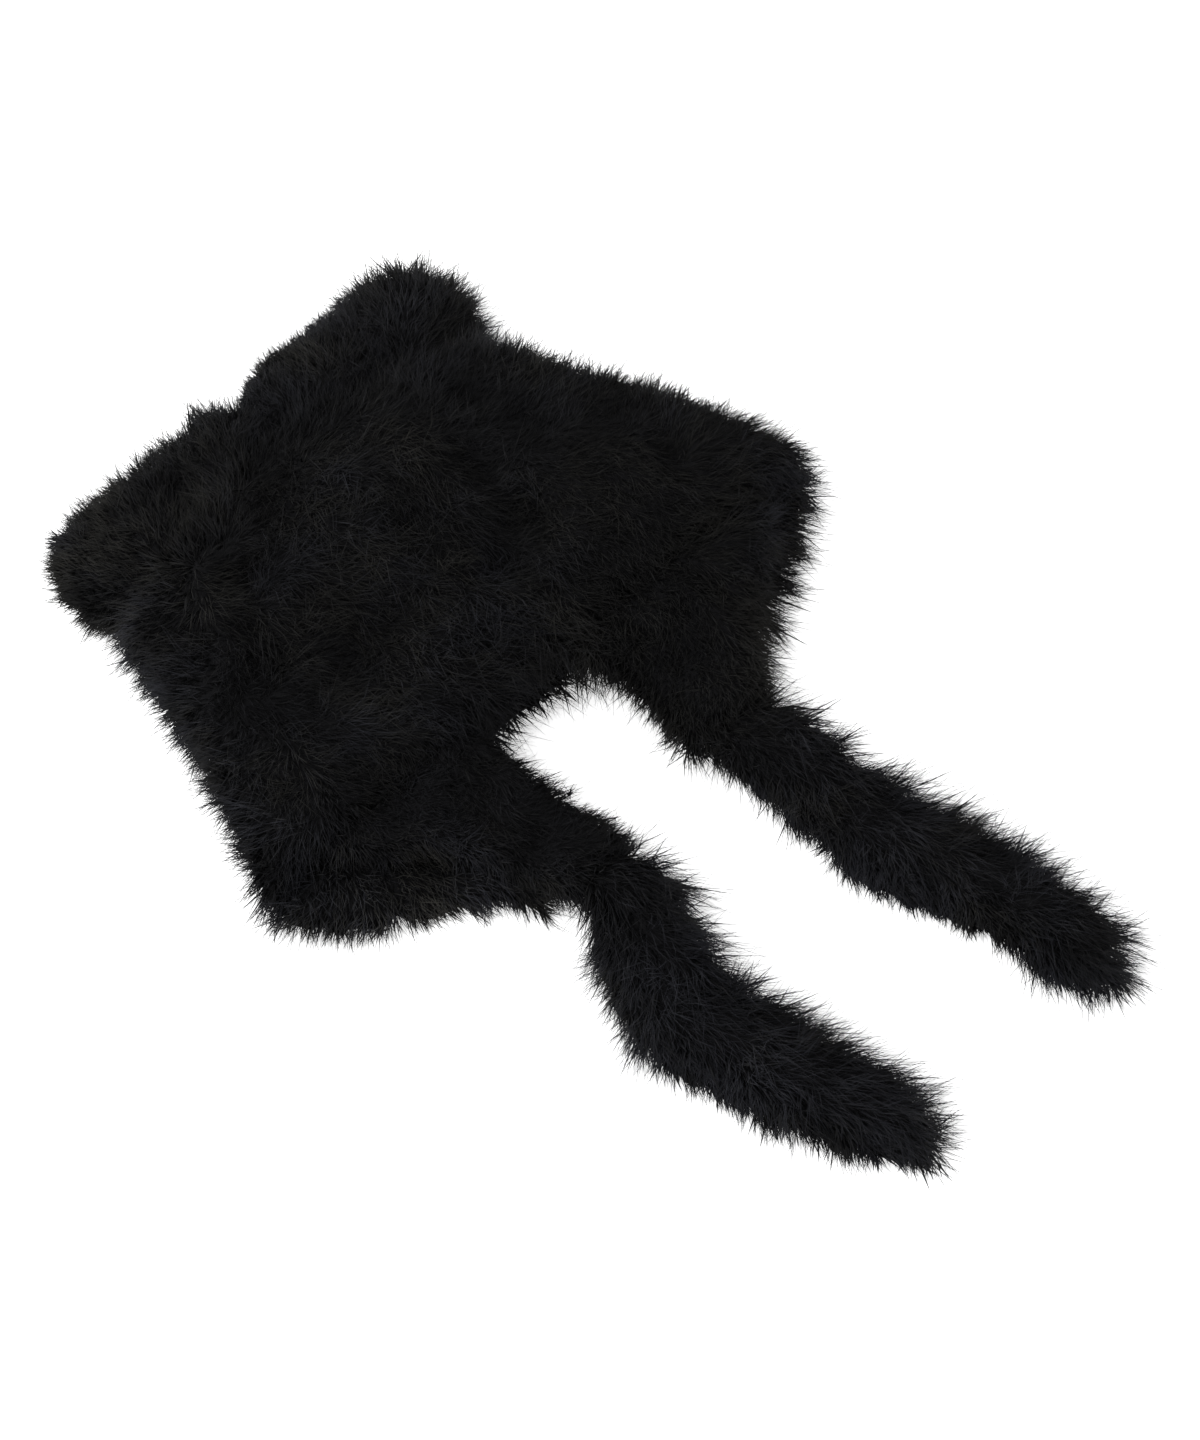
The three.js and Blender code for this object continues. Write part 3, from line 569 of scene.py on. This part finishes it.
    # one strand is a slim three-sided spike, and "tip" runs along it from 0 to 1
    spike = addNode(tree, "GeometryNodeMeshCone", fill_type="NGON")
    spike.inputs["Vertices"].default_value = 3
    tree.links.new(given["Segments"], spike.inputs["Side Segments"])
    spike.inputs["Radius Top"].default_value = 0.0
    spike.inputs["Radius Bottom"].default_value = 0.5
    spike.inputs["Depth"].default_value = 1.0
    height = addNode(tree, "ShaderNodeSeparateXYZ")
    tree.links.new(place, height.inputs["Vector"])
    strand = storeAttribute(tree, spike.outputs["Mesh"], "tip", height.outputs["Z"])
    fuller = addNode(tree, "GeometryNodeSetPosition")
    tree.links.new(strand, fuller.inputs["Geometry"])
    swell = sumOf(tree, "MULTIPLY", readAttribute(tree, "tip"), fibre["belly"])
    swell = sumOf(tree, "ADD", 1.0, swell)
    tree.links.new(vectorOf(tree, "SCALE", place, scale=swell), fuller.inputs["Position"])

    turned = addNode(tree, "FunctionNodeAlignRotationToVector", axis="Z")
    tree.links.new(heading, turned.inputs["Vector"])
    broader = sumOf(tree, "SUBTRACT", given["Coat Width"], given["Width"])
    width = sumOf(tree, "MULTIPLY_ADD", coat, broader, given["Width"])
    flat = addNode(tree, "ShaderNodeCombineXYZ")
    tree.links.new(width, flat.inputs["X"])
    tree.links.new(sumOf(tree, "MULTIPLY", width, fibre["flatness"]), flat.inputs["Y"])
    sown = addNode(tree, "GeometryNodeInstanceOnPoints")
    tree.links.new(points, sown.inputs["Points"])
    tree.links.new(fuller.outputs["Geometry"], sown.inputs["Instance"])
    tree.links.new(turned.outputs["Rotation"], sown.inputs["Rotation"])
    tree.links.new(flat.outputs["Vector"], sown.inputs["Scale"])
    real = addNode(tree, "GeometryNodeRealizeInstances")
    tree.links.new(sown.outputs["Instances"], real.inputs["Geometry"])

    # draws each flat spike out along its curve, and keeps it between the table and the crest
    tip = readAttribute(tree, "tip")
    tipSquared = sumOf(tree, "MULTIPLY", tip, tip)
    drawn = vectorOf(tree, "SCALE", readAttribute(tree, "reach", "FLOAT_VECTOR"), scale=tip)
    curl = vectorOf(tree, "SCALE", readAttribute(tree, "bend", "FLOAT_VECTOR"), scale=tipSquared)
    grown = addNode(tree, "GeometryNodeSetPosition")
    tree.links.new(real.outputs["Geometry"], grown.inputs["Geometry"])
    tree.links.new(vectorOf(tree, "ADD", drawn, curl), grown.inputs["Offset"])
    split = addNode(tree, "ShaderNodeSeparateXYZ")
    tree.links.new(place, split.inputs["Vector"])
    laid = addNode(tree, "ShaderNodeCombineXYZ")
    tree.links.new(split.outputs["X"], laid.inputs["X"])
    tree.links.new(split.outputs["Y"], laid.inputs["Y"])
    level = sumOf(tree, "MAXIMUM", split.outputs["Z"], given["Floor"])
    tree.links.new(sumOf(tree, "MINIMUM", level, given["Ceiling"]), laid.inputs["Z"])
    resting = addNode(tree, "GeometryNodeSetPosition")
    tree.links.new(grown.outputs["Geometry"], resting.inputs["Geometry"])
    tree.links.new(laid.outputs["Vector"], resting.inputs["Position"])
    smoothed = addNode(tree, "GeometryNodeSetShadeSmooth")
    tree.links.new(resting.outputs["Geometry"], smoothed.inputs["Geometry"])
    finish = addNode(tree, "GeometryNodeSetMaterial")
    tree.links.new(smoothed.outputs["Geometry"], finish.inputs["Geometry"])
    tree.links.new(given["Finish"], finish.inputs["Material"])
    out = addNode(tree, "NodeGroupOutput")
    tree.links.new(finish.outputs["Geometry"], out.inputs["Pile"])
    return tree


# Black fibre: painted darkest at the root, as painted shade deep in the pile, and a little lighter and here
# and there browner at the tip.
def makeFurMaterial(name, tones):
    material = bpy.data.materials.new(name)
    material.use_nodes = True
    tree = material.node_tree
    shader = tree.nodes["Principled BSDF"]
    tip = addNode(tree, "ShaderNodeAttribute", attribute_name="tip")
    toneAndPaintedLight = addNode(tree, "ShaderNodeAttribute", attribute_name="toneAndPaintedLight")
    chance = addNode(tree, "ShaderNodeAttribute", attribute_name="warm")
    warm = addNode(tree, "ShaderNodeMapRange")
    plug(tree, chance.outputs["Fac"], warm.inputs["Value"])
    warm.inputs["From Min"].default_value = tones["warmFrom"]
    tipColour = addNode(tree, "ShaderNodeMix", data_type="RGBA")
    plug(tree, warm.outputs["Result"], tipColour.inputs["Factor"])
    plug(tree, (*tones["tip"], 1), tipColour.inputs["A"])
    plug(tree, (*tones["warmTip"], 1), tipColour.inputs["B"])
    colour = addNode(tree, "ShaderNodeMix", data_type="RGBA", clamp_factor=False)
    rising = sumOf(tree, "POWER", tip.outputs["Fac"], tones["tipPower"])
    # the tip's colour comes in along the strand, scaled by its random tone and its painted light and shade
    plug(tree, sumOf(tree, "MULTIPLY", rising, toneAndPaintedLight.outputs["Fac"]), colour.inputs["Factor"])
    plug(tree, (*tones["deepPaintedShade"], 1), colour.inputs["A"])
    plug(tree, tipColour.outputs["Result"], colour.inputs["B"])
    plug(tree, colour.outputs["Result"], shader.inputs["Base Color"])
    shader.inputs["Roughness"].default_value = tones["roughness"]
    shader.inputs["Specular IOR Level"].default_value = tones["specular"]
    return material


# The matted underfur between the strands, in fine dark streaks.
def makeKnitMaterial(name, tones):
    material = bpy.data.materials.new(name)
    material.use_nodes = True
    tree = material.node_tree
    shader = tree.nodes["Principled BSDF"]
    place = addNode(tree, "ShaderNodeTexCoord").outputs["Object"]
    fluff = addNode(tree, "ShaderNodeTexNoise")
    plug(tree, place, fluff.inputs["Vector"])
    fluff.inputs["Scale"].default_value = tones["streakScale"]
    fluff.inputs["Detail"].default_value = tones["streakDetail"]
    colour = addNode(tree, "ShaderNodeMix", data_type="RGBA")
    plug(tree, fluff.outputs["Fac"], colour.inputs["Factor"])
    plug(tree, (*tones["low"], 1), colour.inputs["A"])
    plug(tree, (*tones["high"], 1), colour.inputs["B"])
    plug(tree, colour.outputs["Result"], shader.inputs["Base Color"])
    bump = addNode(tree, "ShaderNodeBump")
    bump.inputs["Strength"].default_value = tones["bumpStrength"]
    bump.inputs["Distance"].default_value = tones["bumpDistance"]
    plug(tree, fluff.outputs["Fac"], bump.inputs["Height"])
    plug(tree, bump.outputs["Normal"], shader.inputs["Normal"])
    shader.inputs["Roughness"].default_value = tones["roughness"]
    shader.inputs["Specular IOR Level"].default_value = tones["specular"]
    return material


def linkObject(name, mesh):
    piece = bpy.data.objects.new(name, mesh)
    bpy.context.scene.collection.objects.link(piece)
    return piece


def bakeObject(source, name):
    # the evaluated result as a plain mesh, in a new object
    depsgraph = bpy.context.evaluated_depsgraph_get()
    mesh = bpy.data.meshes.new_from_object(source.evaluated_get(depsgraph), depsgraph=depsgraph)
    mesh.name = name
    return mesh


def ramp(values, name):
    gain, start = ramps[name]
    return np.clip(gain * values - start, 0, 1)


# Evens a mesh out without thinning it: each round pulls the points together and pushes them back.
def softenMesh(mesh, rounds, pull=0.5, push=0.53):
    places, _ = readPoints(mesh)
    ends = np.empty(len(mesh.edges) * 2, dtype=int)
    mesh.edges.foreach_get("vertices", ends)
    first, second = ends.reshape(-1, 2).T
    count = np.bincount(ends, minlength=len(places))[:, None]
    for step in range(2 * rounds):
        total = np.zeros_like(places)
        for axis in range(3):
            total[:, axis] += np.bincount(first, places[second, axis], len(places))
            total[:, axis] += np.bincount(second, places[first, axis], len(places))
        amount = -push if step % 2 else pull
        places += amount * (total / count - places)
    places[:, 2] = np.maximum(places[:, 2], leastHeight * mm)
    mesh.vertices.foreach_set("co", places.ravel())
    mesh.update()


# Draws the rims of a mesh in sideways, where the loose pile alone makes the outline.
def drawIn(mesh, inset):
    places, normals = readPoints(mesh)
    sideways = normals.copy()
    sideways[:, 2] = 0
    steep = ramp(np.linalg.norm(sideways, axis=1), "steep")[:, None]
    places -= sideways * steep * inset
    mesh.vertices.foreach_set("co", places.ravel())
    mesh.update()


# The matted body of a piece: its solid, remeshed and smoothed into soft rounded lumps.
def makeSkin(name, node, kind, material):
    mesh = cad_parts[node].data.copy()
    shape = bmesh.new()
    shape.from_mesh(mesh)
    bmesh.ops.remove_doubles(shape, verts=shape.verts, dist=weldReach)
    shape.to_mesh(mesh)
    shape.free()
    rough = linkObject(name + "Rough", mesh)
    remesh = rough.modifiers.new("matted", "REMESH")
    remesh.mode = "VOXEL"
    remesh.voxel_size = kind["voxel"] * mm
    skinMesh = bakeObject(rough, name)
    bpy.data.objects.remove(rough)
    softenMesh(skinMesh, kind["rounds"])
    drawIn(skinMesh, kind["inset"] * mm)
    skinMesh.materials.clear()
    skinMesh.materials.append(material)
    skinMesh.polygons.foreach_set("use_smooth", [True] * len(skinMesh.polygons))
    return linkObject(name + "Body", skinMesh)


def readPoints(mesh):
    places = np.empty(len(mesh.vertices) * 3)
    normals = np.empty(len(mesh.vertices) * 3)
    mesh.vertices.foreach_get("co", places)
    mesh.vertices.foreach_get("normal", normals)
    return places.reshape(-1, 3), normals.reshape(-1, 3)


def writeAttribute(mesh, name, values, kind="FLOAT"):
    layer = mesh.attributes.new(name, kind, "POINT")
    layer.data.foreach_set("vector" if kind == "FLOAT_VECTOR" else "value", np.ravel(values))


# The comb over the lying cap, from the listed places, nearest first.
def combAt(places):
    spots = np.array([[row["x"], row["y"]] for row in combing]) * mm
    heads = np.array([[row["headX"], row["headY"]] for row in combing])
    pileAndPaintedLight = np.array([[row["pile"], row["paintedLight"]] for row in combing])
    away = np.linalg.norm(places[:, None, :2] - spots[None], axis=2) / (combReach * mm)
    weight = np.exp(-away * away) + farPull["weight"] / (away + farPull["soften"]) ** 2
    weight /= weight.sum(axis=1, keepdims=True)
    flow = np.zeros_like(places)
    flow[:, :2] = weight @ heads
    flow /= np.linalg.norm(flow, axis=1, keepdims=True) + 1e-6
    # the pile's length, and the painted light and shade, at each place
    pile, paintedLight = (weight @ pileAndPaintedLight).T
    return flow, pile, paintedLight


# How open the sky is over each point, from a few rays: inside the crown and under a flap it is shut.
def opennessAt(places, normals, tree):
    openness = np.zeros(len(places))
    for index, (place, normal) in enumerate(zip(places, normals)):
        start = Vector(place) + Vector(normal) * rayStart * mm
        clear = [tree.ray_cast(start, Vector(ray), skyReach * mm)[0] is None for ray in skyRays]
        openness[index] = sum(clear) / len(skyRays)
    return openness


def skinsTree(skins):
    corners = []
    faces = []
    for skin in skins:
        base = len(corners)
        corners.extend(tuple(vertex.co) for vertex in skin.data.vertices)
        faces.extend(tuple(base + corner for corner in face.vertices) for face in skin.data.polygons)
    return BVHTree.FromPolygons(corners, faces)


# How near each place is to a row's spot, from 1 there to 0 well beyond its reach.
def nearness(places, row):
    away = np.hypot(places[:, 0] - row["x"] * mm, places[:, 1] - row["y"] * mm) / (row["reach"] * mm)
    return np.exp(-away * away)


# How deep the partings are at each place, from 0 to 1.
def partingAt(places):
    depth = np.zeros(len(places))
    for row in partings:
        depth = np.maximum(depth, row["depth"] * nearness(places, row))
    return depth


def shareAt(places, rows):
    return sum(row["share"] * nearness(places, row) for row in rows)


# Which points on the low sides look out freely over the table.
def lowSidesAt(places, normals, tree):
    freely = np.zeros(len(places), dtype=bool)
    flat = np.hypot(normals[:, 0], normals[:, 1])
    low = (places[:, 2] > lowSide["from"] * mm) & (places[:, 2] < lowSide["to"] * mm)
    for index in np.flatnonzero(low & (flat > lowSide["leastFlat"])):
        normal = Vector(normals[index])
        start = Vector(places[index]) + normal * rayStart * mm
        way = Vector((normal.x, normal.y, lowSide["rise"] * flat[index]))
        freely[index] = tree.ray_cast(start, way, lowSide["reach"] * mm)[0] is None
    return freely


# Writes the comb and the pile's length, thickness, painted light and shade, and warmth on a skin. Then it
# presses the partings in, and lets the hem swell.
def combSkin(skin, tree, flowOf):
    places, normals = readPoints(skin.data)
    flow, pile, paintedLight = flowOf(places)
    openness = opennessAt(places, normals, tree)
    beneath = (normals[:, 2] < growth["downward"]) & (places[:, 2] < growth["downwardTop"] * mm)
    lowSides = lowSidesAt(places, normals, tree)
    outward = ramp(np.hypot(normals[:, 0], normals[:, 1]), "outward")
    parting = partingAt(places)
    thick = ramp(openness, "openThick") * (growth["flatThick"] + growth["rimThicker"] * outward)
    thick[beneath] = 0
    thick[lowSides] = np.maximum(thick[lowSides], growth["lowSideThick"])
    writeAttribute(skin.data, "comb", flow, "FLOAT_VECTOR")
    pile = pile * np.clip(growth["hiddenPile"] + growth["openPile"] * openness, 0, 1)
    pile = pile * (1 - growth["partingShorter"] * parting) * (1 - growth["rimShorter"] * outward)
    pile = pile * (1 + shareAt(places, fullness))
    writeAttribute(skin.data, "pile", pile)
    writeAttribute(skin.data, "thick", thick)
    writeAttribute(skin.data, "rim", outward)
    writeAttribute(skin.data, "warmth", shareAt(places, warmth))
    # painted light and shade: each place's listed light, painted darker still in the partings
    writeAttribute(skin.data, "paintedLight", paintedLight * (growth["plainPaintedLight"] - growth["partingPaintedShade"] * parting))
    facingUp = np.clip(normals[:, 2], 0, 1)
    pressed = places.copy()
    pressed[:, 2] -= parting * growth["partingSink"] * mm * facingUp
    if skin.name == "crownBody":
        beyond = (growth["hemStart"] * mm - places[:, 1]) / (growth["hemRise"] * mm)
        hem = np.clip(beyond, 0, 1) * (places[:, 2] < growth["hemTop"] * mm)
        pressed[:, 2] += hem * ramp(openness, "openHem") * growth["hemSwell"] * mm * facingUp
    skin.data.vertices.foreach_set("co", pressed.ravel())
    skin.data.update()
    softenMesh(skin.data, growth["softenRounds"])


# A tie's comb: towards its tip, and outwards from its middle line on both sides. It also gives the tie's
# pile, and its painted light and shade: painted shade at the root by the flap.
def tieFlow(node):
    low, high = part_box(node)

    def flowOf(places):
        middles = {}
        bands = np.floor((places[:, 1] - low[1]) / (tieComb["bandWidth"] * mm)).astype(int)
        for band in set(bands):
            chosen = places[bands == band]
            middles[band] = (chosen[:, 0].min() + chosen[:, 0].max()) / 2
        count = max(middles) + 1
        line = np.interp(np.arange(count), sorted(middles), [middles[band] for band in sorted(middles)])
        centres = low[1] + (np.arange(count) + 0.5) * tieComb["bandWidth"] * mm
        middle = np.interp(places[:, 1], centres, line)
        slope = np.interp(places[:, 1], centres, np.gradient(line, centres))
        side = np.clip((places[:, 0] - middle) / (tieComb["halfWidth"] * mm), -1, 1)
        flow = np.stack([-slope, -np.ones(len(places)), np.zeros(len(places))], axis=1)
        flow[:, 0] += side * tieComb["spread"]
        flow /= np.linalg.norm(flow, axis=1, keepdims=True)
        beyond = np.clip((high[1] - places[:, 1]) / (tieComb["rootLength"] * mm), 0, 1)
        pile = tieComb["rootPile"] - tieComb["tailShorter"] * beyond
        pile = pile * (1 + tieComb["outerLonger"] * side)
        # painted shade at the root, where the tie meets its flap, fading out towards the tail
        paintedLight = tieComb["rootPaintedShade"] + tieComb["tailPaintedLight"] * beyond
        return flow, pile, paintedLight

    return flowOf


# Grows the pile of a skin in one or more pieces, each cut out by a share of the skin's width.
def growPile(name, skin, sizes, tree, finish, seed, bands=1, segments=2):
    identifiers = {item.name: item.identifier for item in tree.interface.items_tree if item.in_out == "INPUT"}
    places, _ = readPoints(skin.data)
    thick = np.empty(len(places))
    skin.data.attributes["thick"].data.foreach_get("value", thick)
    edges = np.quantile(places[thick > growth["bandThick"], 0], np.linspace(0, 1, bands + 1))
    edges[0] -= 1
    edges[-1] += 1
    pieces = []
    for band in range(bands):
        within = (places[:, 0] >= edges[band]) & (places[:, 0] < edges[band + 1])
        rooted = linkObject(name + "Rooted", skin.data.copy())
        rooted.data.attributes["thick"].data.foreach_set("value", thick * within)
        modifier = rooted.modifiers.new("pile", "NODES")
        modifier.node_group = tree
        settings = {
            "Density": sizes["density"] / mm ** 2,
            "Length": sizes["length"] * mm,
            "Width": sizes["width"] * mm,
            "Lift": math.radians(sizes["lift"]),
            "Lay": sizes["lay"],
            "Droop": sizes["droop"],
            "Segments": segments,
            "Seed": seed + 10 * band,
            "Finish": finish,
        }
        for label, value in settings.items():
            modifier[identifiers[label]] = value
        pieceName = name if bands == 1 else f"{name}_{band + 1}"
        piece = linkObject(pieceName, bakeObject(rooted, pieceName))
        bpy.data.objects.remove(rooted)
        pieces.append(piece)
        triangles = sum(len(face.vertices) - 2 for face in piece.data.polygons)
        print("grown", pieceName, triangles, "triangles")
    return pieces


def settle(piece, *nodes):
    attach(piece, body)
    if nodes:
        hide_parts(*nodes)


def makeTable():
    half = table["width"] / 2
    mesh = bpy.data.meshes.new("table")
    corners = [(-half, -half, 0), (half, -half, 0), (half, half, 0), (-half, half, 0)]
    mesh.from_pydata(corners, [], [(0, 1, 2, 3)])
    top = linkObject("table", mesh)
    material = bpy.data.materials.new("whiteTable")
    material.use_nodes = True
    shader = material.node_tree.nodes["Principled BSDF"]
    shader.inputs["Base Color"].default_value = (*table["colour"], 1)
    shader.inputs["Roughness"].default_value = table["roughness"]
    shader.inputs["Specular IOR Level"].default_value = 0.0
    shader.inputs["Emission Color"].default_value = (1, 1, 1, 1)
    shader.inputs["Emission Strength"].default_value = table["glow"]
    mesh.materials.append(material)


def addAreaLight(name, power, size, place):
    data = bpy.data.lights.new(name, "AREA")
    data.energy = power
    data.size = size
    lamp = bpy.data.objects.new(name, data)
    lamp.location = place
    lamp.rotation_euler = (-Vector(place)).to_track_quat("-Z", "Y").to_euler()
    bpy.context.scene.collection.objects.link(lamp)


def lightStudio():
    world = bpy.data.worlds.new("studio")
    world.use_nodes = True
    sky = world.node_tree.nodes["Background"]
    sky.inputs["Color"].default_value = (1, 1, 1, 1)
    sky.inputs["Strength"].default_value = lights["world"]
    bpy.context.scene.world = world
    addAreaLight("key", lights["keyPower"], lights["keySize"], lights["keyPlace"])
    addAreaLight("fill", lights["fillPower"], lights["fillSize"], lights["fillPlace"])
    bpy.context.scene.view_settings.view_transform = "Standard"


def placeCamera():
    elevation = math.radians(view["elevation"])
    azimuth = math.radians(view["azimuth"])
    back = Vector((
        math.sin(azimuth) * math.cos(elevation),
        -math.cos(azimuth) * math.cos(elevation),
        math.sin(elevation),
    ))
    right = Vector((math.cos(azimuth), math.sin(azimuth), 0))
    up = back.cross(right)
    data = bpy.data.cameras.new("camera")
    data.lens = view["lens"]
    data.sensor_width = view["sensor"]
    data.clip_end = view["farEnd"]
    camera = bpy.data.objects.new("camera", data)
    turn = Matrix((right, up, back)).transposed().to_4x4()
    camera.matrix_world = Matrix.Translation(Vector(view["aim"]) + back * view["distance"]) @ turn
    bpy.context.scene.collection.objects.link(camera)
    bpy.context.scene.camera = camera


placeCamera()
lightStudio()
makeTable()
print("camera, table and lights ready")

fur = makeFurMaterial("blackFur", furTones)
knit = makeKnitMaterial("mattedKnit", knitTones)
pileTree = makePileTree()

skins = [makeSkin(row["name"], row["node"], row["kind"], knit) for row in pieces]
print("skins matted")

covers = skinsTree(skins)
for skin, row in zip(skins, pieces):
    kind = row["kind"]
    combSkin(skin, covers, tieFlow(row["node"]) if kind is tieKind else combAt)
    settle(skin, row["node"])
    pileName = row["name"] + "Pile"
    for grown in growPile(pileName, skin, kind["pile"], pileTree, fur, row["seed"], kind["bands"]):
        settle(grown)
